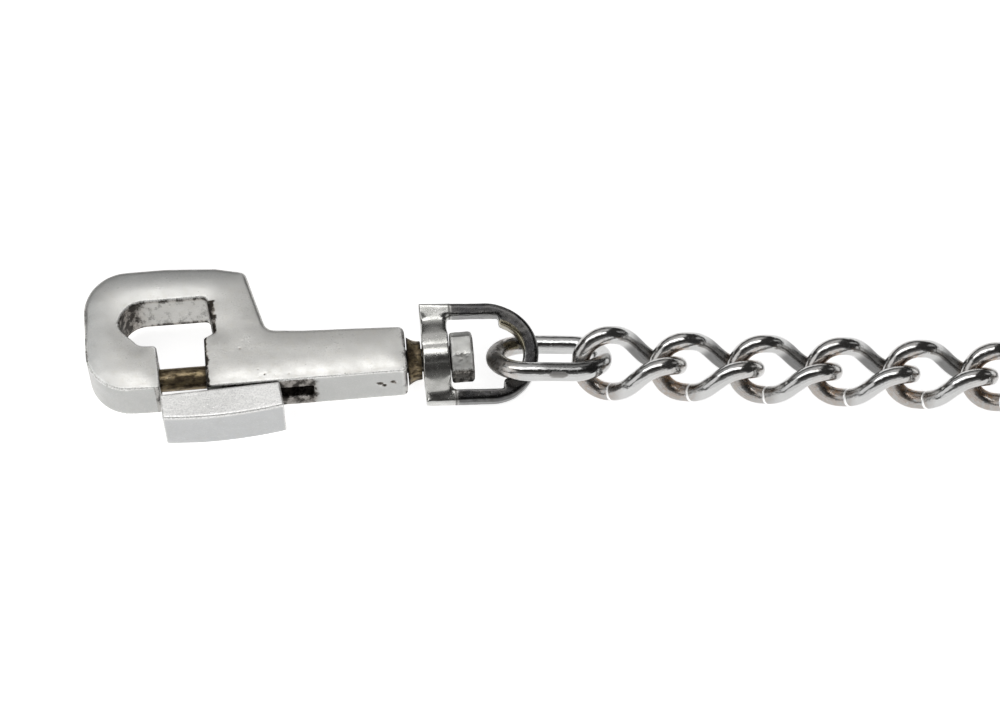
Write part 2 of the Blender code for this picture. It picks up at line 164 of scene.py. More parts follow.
# Hammer dents in the stud's head, in millimetres: x, y, z and radius
DENTS = (
    (21.2, -2.0, 11.1, 0.5), (22.0, -2.3, 11.0, 0.45), (22.6, -2.0, 11.0, 0.5),
    (23.1, -2.6, 10.8, 0.35), (21.8, -3.1, 10.4, 0.35),
)
DENT_DEPTH = 0.12 * MM
# Closer sections on both sides of a link's butt joint, in millimetres along the wire
SEAM_SECTIONS = (-0.45, -0.3, -0.2, -0.12, -0.05, 0.05, 0.12, 0.2, 0.3, 0.45)
RING_SECTIONS = 144
RING_WELD = 40

CAMERA_AIM = Vector((30.4, -1.0, 6.4)) * MM
CAMERA_DISTANCE = 0.7
CAMERA_AZIMUTH = math.radians(-5.2)
CAMERA_ELEVATION = math.radians(60)
CAMERA_LENS = 115.9
LIGHT_AIM = Vector((0.06, 0, 0.005))


# ---- materials

def node(tree, kind, **values):
    made = tree.nodes.new(kind)
    for key, value in values.items():
        if key in made.inputs:
            made.inputs[key].default_value = value
        else:
            setattr(made, key, value)
    return made


class Metal:
    """A procedural metal: tones, smudges, fine scratches, dirt, painted shade and painted highlights by
    vertex attributes, and bump.
    """

    def __init__(self, name, colour, roughness):
        self.material = bpy.data.materials.new(name)
        self.material.use_nodes = True
        self.tree = self.material.node_tree
        self.shader = self.tree.nodes["Principled BSDF"]
        self.shader.inputs["Metallic"].default_value = 1.0
        self.material.diffuse_color = (*colour, 1.0)
        place = node(self.tree, "ShaderNodeTexCoord")
        seed = node(self.tree, "ShaderNodeAttribute", attribute_name="seed")
        shift = node(self.tree, "ShaderNodeVectorMath", operation="ADD")
        self.link(place.outputs["Object"], shift.inputs[0])
        self.link(seed.outputs["Vector"], shift.inputs[1])
        self.place = shift.outputs[0]
        rgb = node(self.tree, "ShaderNodeRGB")
        rgb.outputs[0].default_value = (*colour, 1.0)
        self.colour = rgb.outputs[0]
        value = node(self.tree, "ShaderNodeValue")
        value.outputs[0].default_value = roughness
        self.roughness = value.outputs[0]
        self.normal = None

    def link(self, start, end):
        self.tree.links.new(start, end)

    def attribute(self, name):
        return node(self.tree, "ShaderNodeAttribute", attribute_name=name).outputs["Fac"]

    def noise(self, size, detail=4.0, stretch=(1, 1, 1), rough=0.55, low=0.0, high=1.0):
        """Noise whose features are about size across, stretched along an axis, cut to low..high."""
        mapping = node(self.tree, "ShaderNodeMapping", Scale=[1 / (size * s) for s in stretch])
        self.link(self.place, mapping.inputs["Vector"])
        made = node(self.tree, "ShaderNodeTexNoise", Scale=1.0, Detail=detail, Roughness=rough)
        self.link(mapping.outputs[0], made.inputs["Vector"])
        return self.range(made.outputs["Fac"], low, high)

    def range(self, value, low, high):
        """0 at low, rising smoothly to 1 at high."""
        made = node(self.tree, "ShaderNodeMapRange")
        made.interpolation_type = "SMOOTHSTEP"
        made.inputs["From Min"].default_value = low
        made.inputs["From Max"].default_value = high
        self.link(value, made.inputs["Value"])
        return made.outputs["Result"]

    def maths(self, operation, first, second, clamp=False):
        made = node(self.tree, "ShaderNodeMath", operation=operation)
        made.use_clamp = clamp
        for slot, value in zip(made.inputs, (first, second)):
            if isinstance(value, (int, float)):
                slot.default_value = value
            else:
                self.link(value, slot)
        return made.outputs[0]

    def tint(self, factor, colour, amount=1.0):
        mix = node(self.tree, "ShaderNodeMix", data_type="RGBA")
        factor = self.maths("MULTIPLY", factor, amount)
        self.link(factor, mix.inputs[0])
        self.link(self.colour, mix.inputs[6])
        mix.inputs[7].default_value = (*colour, 1.0)
        self.colour = mix.outputs[2]
        return self

    def rough(self, factor, change):
        change = self.maths("MULTIPLY", factor, change)
        self.roughness = self.maths("ADD", self.roughness, change, clamp=True)
        return self

    def bump(self, height, distance, strength=1.0):
        made = node(self.tree, "ShaderNodeBump", Strength=strength, Distance=distance)
        self.link(height, made.inputs["Height"])
        if self.normal is not None:
            self.link(self.normal, made.inputs["Normal"])
        self.normal = made.outputs["Normal"]
        return self

    def done(self, anisotropic=0.0):
        self.link(self.colour, self.shader.inputs["Base Color"])
        self.link(self.roughness, self.shader.inputs["Roughness"])
        if self.normal is not None:
            self.link(self.normal, self.shader.inputs["Normal"])
        self.shader.inputs["Anisotropic"].default_value = anisotropic
        return self.material


# Near-black tone for dirt and for painted shade in recesses and between parts
GRIME_AND_SHADE = (0.018, 0.014, 0.010)
BROWN = (0.16, 0.10, 0.05)
BRASS = (0.45, 0.36, 0.20)


def darker(colour, share):
    return tuple(c * share for c in colour)


def satin(name, colour, roughness, brushed=(9, 1, 1)):
    metal = Metal(name, colour, roughness)
    broad = metal.noise(7 * MM, 3, low=0.35, high=0.7)
    blotch = metal.noise(1.6 * MM, 5, low=0.45, high=0.75)
    brush = metal.noise(0.16 * MM, 3, stretch=brushed, rough=0.6, low=0.3, high=0.7)
    hair = metal.noise(0.09 * MM, 2, stretch=(14, 2, 1), rough=0.5, low=0.62, high=0.74)
    metal.tint(broad, darker(colour, 0.86), amount=0.8)
    metal.tint(blotch, (colour[0] * 0.92, colour[1] * 0.90, colour[2] * 0.84), amount=0.5)
    metal.rough(broad, 0.06).rough(blotch, 0.07).rough(brush, 0.06).rough(hair, -0.08)
    # Painted shade: a darker tone on the faces that should look shaded
    metal.tint(metal.attribute("dull"), (colour[0] * 0.69, colour[1] * 0.71, colour[2] * 0.73))
    metal.tint(metal.attribute("burnished"), (0.74, 0.735, 0.72))
    # Proud edges lightened and roughened: partly real rubbed wear, partly a painted highlight
    worn = metal.attribute("worn")
    metal.tint(worn, (0.97, 0.97, 0.95), amount=0.9).rough(worn, 0.3)
    patches = metal.noise(1.5 * MM, 4, stretch=(1, 1, 1.8), rough=0.5, low=0.36, high=0.64)
    speck = metal.noise(0.35 * MM, 3, rough=0.5, low=0.4, high=0.65)
    metal.tint(speck, darker(colour, 0.88), amount=0.6)
    # Dirt and painted shade in recesses and between parts: browned, then darkened near black with patches
    grime = metal.attribute("grime")
    cover = metal.maths("ADD", metal.maths("MULTIPLY", patches, 0.75), metal.maths("MULTIPLY", speck, 0.25))
    dirty_and_shaded = metal.range(metal.maths("ADD", grime, metal.maths("MULTIPLY", cover, 0.75)), 0.62, 1.38)
    metal.tint(metal.range(grime, 0.1, 1.0), BROWN, amount=0.45)
    metal.tint(dirty_and_shaded, GRIME_AND_SHADE, amount=0.93).rough(dirty_and_shaded, 0.25)
    metal.bump(brush, 0.006 * MM, 0.5).bump(hair, 0.01 * MM, 0.5).bump(blotch, 0.02 * MM, 0.35)
    return metal.done(0.25)


def polished(name, colour, roughness):
    metal = Metal(name, colour, roughness)
    broad = metal.noise(5 * MM, 3, low=0.35, high=0.7)
    smudge = metal.noise(0.9 * MM, 5, rough=0.65, low=0.52, high=0.72)
    scratch = metal.noise(0.10 * MM, 2, stretch=(9, 1.5, 1.5), low=0.64, high=0.76)
    metal.tint(broad, darker(colour, 0.90), amount=0.7)
    metal.rough(broad, 0.03).rough(smudge, 0.10).rough(scratch, 0.12)
    # Painted shade: masked strands darkened to a third of the steel's tone
    dull = metal.attribute("dull")
    metal.tint(dull, darker(colour, 0.34)).rough(dull, 0.06)
    tarnish = metal.attribute("tarnish")
    patchy = metal.maths("MULTIPLY", tarnish, metal.noise(0.8 * MM, 4, low=0.3, high=0.62))
    metal.tint(patchy, (0.34, 0.20, 0.10), amount=0.85).rough(patchy, 0.18)
    scar = metal.attribute("scar")
    metal.tint(scar, (0.30, 0.29, 0.28), amount=0.9).rough(scar, 0.42)
    # Painted highlight: the band at a link's butt joint whitened as if its gap caught the light
    bright = metal.attribute("bright")
    metal.tint(bright, (1.0, 1.0, 0.99), amount=1.0).rough(bright, 0.3)
    # Dirt and painted shade where links meet and where the oval hangs in the eye, darkened with smudges
    grime = metal.attribute("grime")
    dirty_and_shaded = metal.range(metal.maths("MULTIPLY", grime, metal.maths("ADD", smudge, 0.6)), 0.25, 0.8)
    metal.tint(dirty_and_shaded, (0.05, 0.045, 0.04), amount=0.9).rough(dirty_and_shaded, 0.25)
    ripple = metal.noise(1.3 * MM, 3, stretch=(1.8, 1, 1))
    metal.bump(ripple, 0.07 * MM, 0.6).bump(scratch, 0.01 * MM, 0.5).bump(smudge, 0.02 * MM, 0.4)
    grain = metal.maths("MULTIPLY", scar, metal.noise(0.25 * MM, 4))
    metal.bump(grain, 0.05 * MM, 0.6)
    return metal.done(0.0)


def brassy(name):
    metal = Metal(name, (0.21, 0.165, 0.105), 0.34)
    blotch = metal.noise(1.3 * MM, 4, rough=0.55, low=0.42, high=0.62)
    dark = metal.noise(1.0 * MM, 4, stretch=(2.5, 1, 1), rough=0.55, low=0.42, high=0.62)
    bare = metal.noise(0.45 * MM, 4, stretch=(3, 1, 1), low=0.6, high=0.75)
    metal.tint(blotch, BRASS, amount=0.4).tint(bare, (0.60, 0.55, 0.45), amount=0.7)
    metal.tint(dark, (0.045, 0.032, 0.02), amount=0.85)
    metal.rough(blotch, 0.1).rough(dark, 0.2).rough(bare, -0.15)
    # Dirt and painted shade at the bolt's hidden ends and the collar's ends, darkened
    grime = metal.attribute("grime")
    metal.tint(grime, GRIME_AND_SHADE, amount=0.9).rough(grime, 0.25)
    metal.bump(blotch, 0.04 * MM, 0.5).bump(dark, 0.04 * MM, 0.5)
    return metal.done(0.1)


def drawn_wire(name):
    metal = Metal(name, (0.36, 0.35, 0.34), 0.38)
    streak = metal.noise(0.12 * MM, 3, stretch=(4, 1, 1), low=0.4, high=0.7)
    rust = metal.noise(0.9 * MM, 4, low=0.55, high=0.72)
    metal.tint(streak, (0.22, 0.21, 0.20), amount=0.6).tint(rust, BROWN, amount=0.6)
    metal.rough(rust, 0.25).rough(streak, 0.08).bump(streak, 0.008 * MM, 0.5)
    return metal.done(0.0)


def floor_paper():
    material = bpy.data.materials.new("floor_paper")
    material.use_nodes = True
    tree = material.node_tree
    shader = tree.nodes["Principled BSDF"]
    place = node(tree, "ShaderNodeTexCoord")
    grain = node(tree, "ShaderNodeTexNoise", Scale=900.0, Detail=3.0)
    tree.links.new(place.outputs["Object"], grain.inputs["Vector"])
    shade = node(tree, "ShaderNodeMapRange", **{"To Min": 0.90, "To Max": 0.93})
    tree.links.new(grain.outputs["Fac"], shade.inputs["Value"])
    tree.links.new(shade.outputs["Result"], shader.inputs["Base Color"])
    shader.inputs["Roughness"].default_value = 0.9
    shader.inputs["Specular IOR Level"].default_value = 0.1
    shader.inputs["Emission Color"].default_value = (1, 1, 1, 1)
    shader.inputs["Emission Strength"].default_value = 0.8
    return material


# ---- mesh tools

def mesh_from(name, vertices, faces):
    mesh = bpy.data.meshes.new(name)
    mesh.from_pydata([tuple(v) for v in vertices], [], faces)
    mesh.update()
    return mesh


def added(name, data):
    item = bpy.data.objects.new(name, data)
    bpy.context.scene.collection.objects.link(item)
    return item


def evaluated_mesh(item):
    """A new mesh with the object's modifiers applied."""
    bpy.context.view_layer.update()
    evaluated = item.evaluated_get(bpy.context.evaluated_depsgraph_get())
    return bpy.data.meshes.new_from_object(evaluated)


def baked(item):
    """The evaluated mesh of a temporary object, which is removed."""
    mesh = evaluated_mesh(item)
    bpy.data.objects.remove(item, do_unlink=True)
    return mesh


def vectors(items, field):
    found = np.empty(len(items) * 3, np.float32)
    items.foreach_get(field, found)
    return found.reshape(-1, 3).astype(float)


def points_of(mesh):
    return vectors(mesh.vertices, "co")


def normals_of(mesh):
    return vectors(mesh.vertex_normals, "vector")


def set_points(mesh, points):
    mesh.vertices.foreach_set("co", points.astype(np.float32).ravel())
    mesh.update()


def store(mesh, **shares):
    """Stores shares from 0 to 1 per vertex for the material. One that isn't stored reads 0."""
    for name, values in shares.items():
        made = mesh.attributes.new(name, "FLOAT", "POINT")
        made.data.foreach_set("value", np.clip(values, 0, 1).astype(np.float32))


def neighbour_mean(mesh):
    """A function that averages a vector per vertex over each vertex's neighbours."""
    pairs = np.empty(len(mesh.edges) * 2, np.int64)
    mesh.edges.foreach_get("vertices", pairs)
    a, b = pairs[0::2], pairs[1::2]
    count = np.bincount(pairs, minlength=len(mesh.vertices)).astype(float)

    def mean(values):
        total = np.empty_like(values)
        for axis in range(3):
            total[:, axis] = np.bincount(a, values[b, axis], len(values))
            total[:, axis] += np.bincount(b, values[a, axis], len(values))
        return total / np.maximum(count, 1)[:, None]
    return mean


def relax(mesh, weight, rounds):
    """Smooths a mesh. Each vertex moves in a share of the rounds set by its weight, from 0 to 1."""
    points = points_of(mesh)
    mean = neighbour_mean(mesh)
    share = np.asarray(weight, float) * rounds
    for turn in range(rounds):
        step = np.clip(share - turn, 0, 1)[:, None] * 0.6
        points = points + (mean(points) - points) * step
    set_points(mesh, points)


def edge_wear_and_highlight(mesh, low, high, rounds=6):
    """0 to 1 as a vertex stands from low to high millimetres proud of its smoothed neighbourhood."""
    points = points_of(mesh)
    mean = neighbour_mean(mesh)
    smooth = points
    for _ in range(rounds):
        smooth = mean(smooth)
    return between(((points - smooth) * normals_of(mesh)).sum(1) / MM, low, high)


def noise_at(points, size, seed=0.0):
    shift = Vector((seed * 3.1, seed * 1.7, seed * 2.3))
    return np.array([noise.noise(Vector(p) / size + shift) for p in points])


def push(mesh, distance):
    set_points(mesh, points_of(mesh) + normals_of(mesh) * np.asarray(distance)[:, None])


def rim_distance(points, outline, reach, smoothing=16):
    """Distance in plan from each point to the outline, up to a reach, read from a smoothed fine grid."""
    rim = np.array([tuple(p) for p, _ in outline])
    step = 0.4 * MM
    low = rim.min(0) - reach
    columns, rows = np.ceil((rim.max(0) + reach - low) / step).astype(int) + 1
    grid = np.stack(np.meshgrid(np.arange(columns), np.arange(rows), indexing="ij"), -1) * step + low
    field = np.full((columns, rows), reach)
    for place in rim:
        field = np.minimum(field, np.hypot(grid[..., 0] - place[0], grid[..., 1] - place[1]))
    for _ in range(smoothing):
        wide = np.pad(field, 1, mode="edge")
        field = (wide[:-2, 1:-1] + wide[2:, 1:-1] + wide[1:-1, :-2] + wide[1:-1, 2:] + 2 * field) / 6
    spot = (points[:, :2] - low) / step
    cell = np.clip(spot.astype(int), 0, (columns - 2, rows - 2))
    u, v = (spot - cell).T
    a, b = cell.T
    return (field[a, b] * (1 - u) * (1 - v) + field[a + 1, b] * u * (1 - v)
            + field[a, b + 1] * (1 - u) * v + field[a + 1, b + 1] * u * v)


def near(points, centre, radius):
    """1 at a centre, falling smoothly to 0 at the radius."""
    distance = np.linalg.norm(points - np.asarray(centre), axis=1) / radius
    return between(1 - distance, 0, 1)


def between(values, low, high):
    """0 up to low, rising smoothly to 1 at high."""
    share = np.clip((values - low) / (high - low), 0, 1)
    return share * share * (3 - 2 * share)


def shown(name, mesh, body, cad_node, material, angle=None, place=None):
    """Makes a finished mesh a piece that rides on a body and stands for a CAD node."""
    mesh.name = name + "_mesh"
    if place is not None:
        mesh.transform(place)
    item = added(name, mesh)
    mesh.materials.clear()
    mesh.materials.append(material)
    mesh.shade_smooth()
    if angle is not None:
        mesh.set_sharp_from_angle(angle=math.radians(angle))
    pick = random.Random(name)
    shift = [pick.uniform(0, 0.4) for _ in range(3)]
    seed = mesh.attributes.new("seed", "FLOAT_VECTOR", "POINT")
    seed.data.foreach_set("vector", np.tile(shift, len(mesh.vertices)).astype(np.float32))
    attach(item, body)
    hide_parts(cad_node)
    return item


# ---- shapes

def filleted(corners, finest=math.radians(6)):
    """Outline points with an edge radius each, where a corner (x, y, fillet, edge) becomes an arc."""
    outline = []
    for index, (x, y, radius, edge) in enumerate(corners):
        corner = Vector((x, y)) * MM
        arriving = (corner - Vector(corners[index - 1][:2]) * MM).normalized()
        leaving = (Vector(corners[(index + 1) % len(corners)][:2]) * MM - corner).normalized()
        turn = math.atan2(arriving.cross(leaving), arriving.dot(leaving))
        if radius == 0:
            outline.append((corner, edge * MM))
            continue
        reach = radius * MM * math.tan(abs(turn) / 2)
        start = corner - arriving * reach
        side = Vector((-arriving.y, arriving.x)) * math.copysign(radius * MM, turn)
        steps = max(2, math.ceil(abs(turn) / finest))
        for step in range(steps + 1):
            spoke = Matrix.Rotation(turn * step / steps, 2) @ -side
            outline.append((start + side + spoke, edge * MM))
    return outline


def spread(outline, longest=1.0 * MM):
    """Adds points to an outline so that no side is longer than the given length."""
    points = []
    for (start, r0), (end, r1) in zip(outline, outline[1:] + outline[:1]):
        count = max(1, math.ceil((end - start).length / longest))
        for step in range(count):
            share = step / count
            ease = share * share * (3 - 2 * share)
            points.append((start.lerp(end, share), r0 + (r1 - r0) * ease))
    return points


def ring_faces(rows, sides, closed=False):
    """Faces between rings of vertices: back to the first ring if closed, or else with end caps."""
    faces = []
    for row in range(rows if closed else rows - 1):
        after = (row + 1) % rows
        for side in range(sides):
            nxt = (side + 1) % sides
            faces.append((row * sides + side, row * sides + nxt, after * sides + nxt, after * sides + side))
    if not closed:
        faces.append(tuple(range(sides - 1, -1, -1)))
        faces.append(tuple((rows - 1) * sides + side for side in range(sides)))
    return faces


def skinned(name, vertices, rows, sides, closed):
    """Mesh over rings of vertices, with its faces turned outwards."""
    mesh = mesh_from(name, vertices, ring_faces(rows, sides, closed))
    work = bmesh.new()
    work.from_mesh(mesh)
    bmesh.ops.recalc_face_normals(work, faces=work.faces)
    work.to_mesh(mesh)
    work.free()
    return mesh


def slab(name, outline, low, high, steps=5):
    """Closed solid between two heights, with every edge rounded by its own radius."""
    count = len(outline)
    positions = [p for p, _ in outline]
    inward = []
    for index, point in enumerate(positions):
        along = positions[(index + 1) % count] - positions[index - 1]
        inward.append(Vector((-along.y, along.x)).normalized())
    rings = []
    for top in (False, True):
        part = []
        for step in range(steps + 1):
            angle = math.pi / 2 * step / steps
            ring = []
            for (point, radius), normal in zip(outline, inward):
                flat = point + normal * radius * (1 - math.cos(angle))
                drop = radius * (1 - math.sin(angle))
                ring.append((flat.x, flat.y, high - drop if top else low + drop))
            part.append(ring)
        rings += part if top else part[::-1]
    vertices = [v for ring in rings for v in ring]
    return mesh_from(name, vertices, ring_faces(len(rings), count))


def turned(name, profile, sides=72, axis_z=AXIS_Z, closed=False):
    """Turned solid about the X axis at the axis height, from (x, radius) points with radius over 0."""
    vertices = []
    for x, radius in profile:
        for side in range(sides):
            angle = 2 * math.pi * side / sides
            vertices.append((x, radius * math.cos(angle), axis_z + radius * math.sin(angle)))
    return skinned(name, vertices, len(profile), sides, closed)


def block(name, low, high):
    low, high = Vector(low), Vector(high)
    vertices = [(x, y, z) for x in (low.x, high.x) for y in (low.y, high.y) for z in (low.z, high.z)]
    faces = [(0, 1, 3, 2), (4, 6, 7, 5), (0, 4, 5, 1), (2, 3, 7, 6), (0, 2, 6, 4), (1, 5, 7, 3)]
    return mesh_from(name, vertices, faces)


def cut(item, mesh, operation="DIFFERENCE"):
    """Applies one boolean to a temporary object: cuts the mesh away, or joins it on with UNION."""
    other = added("cutter", mesh)
    modifier = item.modifiers.new("cut", "BOOLEAN")
    modifier.operation = operation
    modifier.solver = "EXACT"
    modifier.object = other
    mesh = evaluated_mesh(item)
    item.modifiers.clear()
    item.data = mesh
    bpy.data.objects.remove(other, do_unlink=True)


def remeshed(item, voxel):
    """The object's mesh rebuilt from even, fine faces. The object is removed."""
    modifier = item.modifiers.new("even", "REMESH")
    modifier.mode = "VOXEL"
    modifier.voxel_size = voxel
    modifier.adaptivity = 0.0
    return baked(item)


def tube(name, points, frames, radii, sides, closed=True):
    """Round tube along points, each with a frame (two unit vectors across the tube) and a radius."""
    vertices = []
    for point, (u, v), radius in zip(points, frames, radii):
        for side in range(sides):
            angle = 2 * math.pi * side / sides
            vertices.append(point + (u * math.cos(angle) + v * math.sin(angle)) * radius)
    return skinned(name, vertices, len(points), sides, closed)


def oval_point(length, width, twist, share):
    """Point on the middle of an oval link's wire and the normal of the link's plane; share is 0 to 1."""
    radius = width / 2
    straight = length / 2 - radius
    total = 2 * math.pi * radius + 4 * straight
    run = (share % 1.0) * total
    arc = math.pi * radius
    if run < arc:
        angle = run / radius - math.pi / 2
        x, y = straight + radius * math.cos(angle), radius * math.sin(angle)
    elif run < arc + 2 * straight:
        x, y = straight - (run - arc), radius
    elif run < 2 * arc + 2 * straight:
        angle = (run - arc - 2 * straight) / radius + math.pi / 2
        x, y = -straight + radius * math.cos(angle), radius * math.sin(angle)
    else:
        x, y = -straight + (run - 2 * arc - 2 * straight), -radius
    angle = -twist * math.tanh(x / TWIST_RUN)
    point = Vector((x, y * math.cos(angle), y * math.sin(angle)))
    return point, Vector((0, -math.sin(angle), math.cos(angle)))


def oval_frame(length, width, twist, share, step):
    """Point on an oval link's wire, and the two unit vectors across the wire there."""
    here, plane = oval_point(length, width, twist, share)
    ahead, _ = oval_point(length, width, twist, share + step)
    behind, _ = oval_point(length, width, twist, share - step)
    along = (ahead - behind).normalized()
    up = (plane - along * plane.dot(along)).normalized()
    return here, (up, up.cross(along).normalized())


def lying(centre, heading, tilt):
    """Where a link lies: its centre, its heading in plan, and its tilt about its own length."""
    turn = Matrix.Rotation(heading, 4, "Z") @ Matrix.Rotation(tilt, 4, "X")
    return Matrix.Translation(centre) @ turn


def chain_places():
    """Centre and heading of every curb link: straight by the snap, then one slow sweep back."""
    places = []
    centre = FIRST_LINK_CENTRE.copy()
    direction = None
    for index in range(LINK_COUNT):
        swept = max(0, index + 1 - STRAIGHT_LINKS) / LINKS_TO_A_HALF_SWEEP
        heading = CHAIN_HEADING * math.cos(math.pi * swept)
        previous = direction
        direction = Vector((math.cos(heading), math.sin(heading), 0))
        if previous is not None:
            centre = centre + (previous + direction) * LINK_PITCH / 2
        places.append((centre, heading, direction))
    places[0][0].z += FIRST_LINK_LIFT
    return places


# ---- pieces

def hook_body(material):
    """The cast body, with crowned faces, soft outer edges, casting pits, dirt and painted shade in its
    recesses and at its joints, painted shade on its front walls and outer top edges, and edges lightened
    for wear with a painted highlight.
    """
    outline = spread(filleted(SNAP_CORNERS), 0.5 * MM)
    item = added("hook", slab("hook", outline, 0, SNAP_THICKNESS))
    slot_half = TONGUE_HEIGHT / 2 + GAP
    slot_end = TONGUE_LEFT + TONGUE_LENGTH + BOLT_TRAVEL + GAP
    cut(item, turned("bore", ((BORE_SHOULDER, BORE / 2), (SHANK_END + MM, BORE / 2))))
    nose = NOSE_BORE / 2
    cut(item, turned("nose_bore", ((SOCKET_END, nose), (BORE_SHOULDER + MM, nose))))
    cut(item, block("slot", (TONGUE_LEFT - GAP, -8 * MM, AXIS_Z - slot_half),
                    (slot_end, -2 * MM, AXIS_Z + slot_half)))
    mesh = remeshed(item, CAST_VOXEL)
    points = points_of(mesh)
    x, y, _ = points.T / MM
    outer = between(y, 17.5, 20.0) * 0.35 + between(-x, 53, 57) * 0.35
    relax(mesh, np.clip(0.07 + outer, 0, 1), rounds=12)
    points = points_of(mesh)
    inset = np.clip(rim_distance(points, outline, CROWN_REACH) / CROWN_REACH, 0, 1)
    above = points[:, 2] - AXIS_Z
    by_face = between(np.abs(above), 3.0 * MM, 5.0 * MM)
    points[:, 2] -= np.sign(above) * (1 - inset) ** 2 * CROWN * by_face
    set_points(mesh, points)
    x, y, z = points.T / MM
    height = z - AXIS_Z / MM
    on_face = between(np.abs(height), 5.0, 5.7)
    on_wall = 1 - on_face
    in_bore = (np.hypot(y, height) < 3.9) & (x > -47)
    waves = noise_at(points, 9 * MM, 1) * 0.05 + noise_at(points, 2.5 * MM, 2) * 0.018
    sway = np.where(in_bore, 0, 1) * waves * MM
    pitted = np.zeros(len(points))
    for px, py, pz, radius, depth in PITS:
        share = near(points, (px * MM, py * MM, pz * MM), radius * MM * 1.6)
        sway -= share * depth * MM
        pitted = np.maximum(pitted, np.clip(share * (1 + 4 * depth), 0, 1))
    push(mesh, sway)
    ragged = noise_at(points, 0.7 * MM, 3) * 0.5
    window = ((x > -52.5) & (x < -31) & (y > 5.5) & (y < 17.6)) * on_wall
    gate_rim = (1 - between(x + ragged, -32.9, -32.2)) * (x > -33.7) * (y > -5.6) * (y < 6.9)
    window_rim = (1 - between(x + ragged, -30.9, -30.1)) * (x > -32.2) * (y > 7.6) * (y < 16.0)
    slot_top = np.where(np.abs(height) < 2.3, -3.2, -5.0)
    slot = (x > -30) & (x < -7.5) & (y < slot_top) & (z < 11.2)
    to_slot = np.maximum(np.abs(height) - 3.6, 0) * 0.5 + np.maximum(x + 10.9, 0)
    left_end = between(-x, 57.9, 58.7) * between(y, 0, 3) * (1 - between(y, 18, 22))
    # Dirt and painted shade: darker in the window, along the gate and window rims, round the slot, in the
    # bore, at the slider's joint, at the left end, by the collar and in the pits
    grime = np.maximum.reduce([
        window * (0.25 + 0.6 * between(-x, 44, 50)),
        window * between(-z, -3.0, -0.6) * 0.8,
        window * between(z, 9.0, 11.4) * 0.7,
        gate_rim * 0.95,
        window_rim * 0.95,
        slot * (1 - between(to_slot, 0.2, 2.6)) * 0.75,
        in_bore * 1.0,
        (np.abs(x + 43.9) < 0.5) * (y < 5.2) * on_wall * 0.5,
        left_end * 0.4,
        between(x, 8.4, 10.0) * 0.45,
        pitted,
    ])
    # Painted shade: broad faces darker towards the left end and far side, front walls darker
    outer_side = np.maximum(1 - between(x, -60, -50), between(y, 16, 25))
    dull = outer_side * on_face * 0.9 + on_wall * (1 - between(y, -4, 5)) * 0.7
    # Stores dirt with painted shade, proud edges for wear with a painted highlight, and painted shade
    store(mesh, grime=grime, worn=edge_wear_and_highlight(mesh, 0.02, 0.09), dull=dull)
    return shown("hook_body_cast", mesh, "snap", "hook_body", material)


def thumb_slider(material):
    """The thumb piece with its bowed front, and the tongue that reaches into the bolt."""
    left_back, right_back = SLIDER_BACK
    left, left_front = SLIDER_LEFT
    right, right_front = SLIDER_RIGHT
    outline = []
    steps = 26
    for step in range(steps + 1):
        share = step / steps
        x = left_front + (right_front - left_front) * share
        back = left_back + (right_back - left_back) * share
        bulge = SLIDER_BULGE * (1 - (2 * share - 1) ** 2)
        outline.append((Vector((x, back - SLIDER_DEPTH - bulge)), 0.35 * MM))
    outline += [(Vector((right, right_back)), 0.3 * MM), (Vector((left, left_back)), 0.3 * MM)]
    item = added("slider", slab("slider", spread(outline), SLIDER_BOTTOM, SNAP_THICKNESS))
    half = TONGUE_HEIGHT / 2
    cut(item, block("tongue", (TONGUE_LEFT, -8 * MM, AXIS_Z - half),
                    (TONGUE_LEFT + TONGUE_LENGTH, TONGUE_TIP, AXIS_Z + half)), "UNION")
    mesh = remeshed(item, SLIDER_VOXEL)
    relax(mesh, np.ones(len(mesh.vertices)), rounds=3)
    points = points_of(mesh)
    x, y, z = points.T / MM
    block_only = (y < -5.6).astype(float)
    waves = noise_at(points, 6 * MM, 4) * 0.03 + noise_at(points, 1.8 * MM, 5) * 0.012
    push(mesh, waves * MM * block_only)
    # Dirt and painted shade on the hidden back and tongue and at the left joint; painted shade on the front
    # face below its top edge; proud edges for wear with a painted highlight
    grime = (y > -5.9) * 0.8 + (np.abs(x + 43.7) < 0.4) * 0.25
    store(mesh, grime=grime, worn=edge_wear_and_highlight(mesh, 0.02, 0.09), burnished=between(z, 11.0, 11.5),
          dull=between(-y, 11.0, 11.4) * (1 - between(z, 10.6, 11.1)) * 0.6)
    return shown("thumb_slider_block", mesh, "slider", "thumb_slider", material)


def slide_bolt(material):
    front = BORE_SHOULDER + GAP
    chamfer = 0.5 * MM
    profile = [(BOLT_BACK, BOLT_HEAD / 2 - 0.2 * MM), (BOLT_BACK - 0.2 * MM, BOLT_HEAD / 2),
               (front + 0.2 * MM, BOLT_HEAD / 2), (front, BOLT_HEAD / 2 - 0.2 * MM), (front, BOLT / 2)]
    steps = 40
    for step in range(1, steps):
        x = front + (BOLT_TIP + chamfer - front) * step / steps
        profile.append((x, BOLT / 2))
    profile += [(BOLT_TIP + chamfer, BOLT / 2), (BOLT_TIP, BOLT / 2 - chamfer)]
    item = added("bolt", turned("bolt", profile))
    half = TONGUE_HEIGHT / 2 + GAP
    cut(item, block("cross", (TONGUE_LEFT - GAP, -5 * MM, AXIS_Z - half),
                    (TONGUE_LEFT + TONGUE_LENGTH + GAP, TONGUE_TIP + GAP, AXIS_Z + half)))
    mesh = baked(item)
    points = points_of(mesh)
    x = points[:, 0] / MM
    # Dirt and painted shade at the tip and along the back part in the bore
    store(mesh, grime=(1 - between(x, -45.4, -43.6)) * 0.6 + between(x, -34.4, -33.2) * 0.5)
    return shown("slide_bolt_pin", mesh, "slider", "slide_bolt", material, 35)


